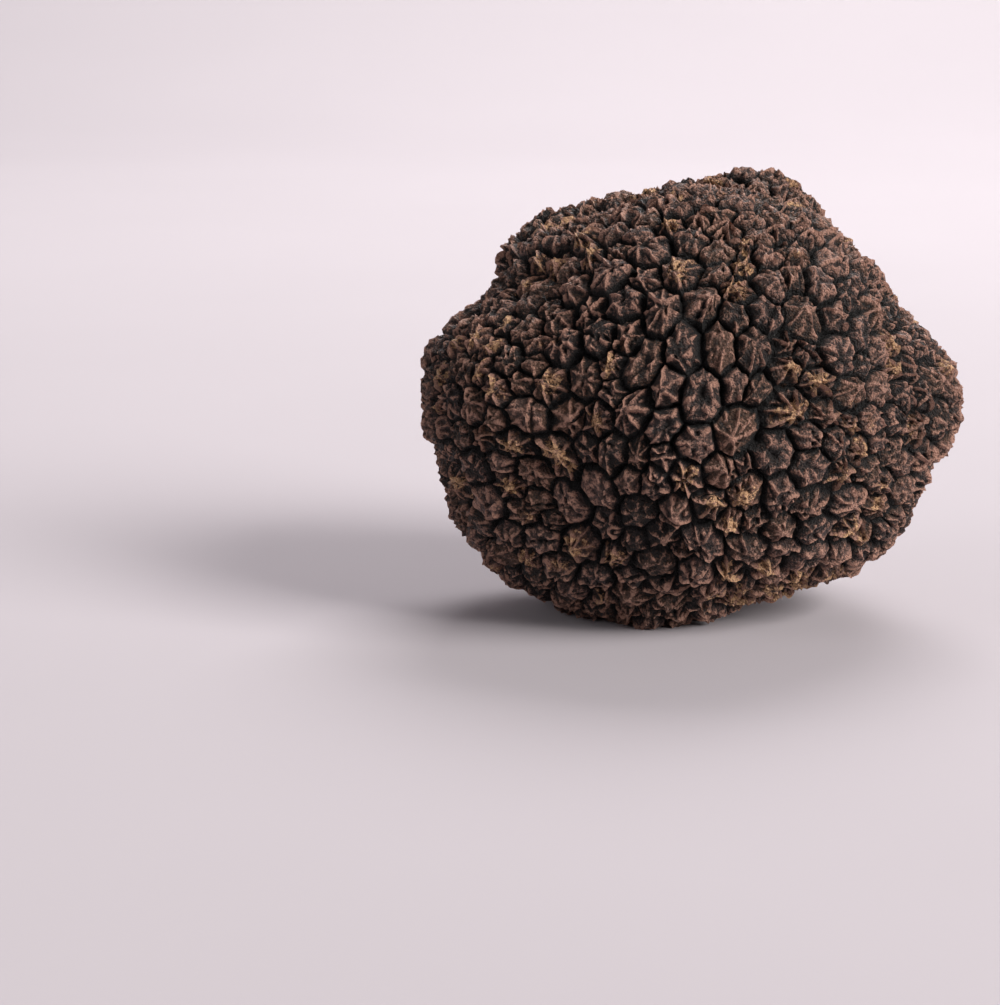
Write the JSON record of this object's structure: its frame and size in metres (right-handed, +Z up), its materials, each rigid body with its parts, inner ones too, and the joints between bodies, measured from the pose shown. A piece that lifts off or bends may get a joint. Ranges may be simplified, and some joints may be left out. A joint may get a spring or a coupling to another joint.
{
  "type": "black truffle",
  "caption": "Whole black truffle: a lobed, irregular tuber covered with low polygonal warts, resting on a small flat spot.",
  "frame": {"origin": "on the ground, under the middle of the truffle's box", "axes": "+X along the longest way across, to the right as seen from the front, +Y to the back, +Z up"},
  "size_m": [0.0878, 0.0754, 0.0706],
  "materials": {
    "skin": "dry, matt, warty skin, near black with brown ridges and tan worn tips"
  },
  "bodies": {
    "root": {"truffle": "skin"}
  },
  "joints": []
}
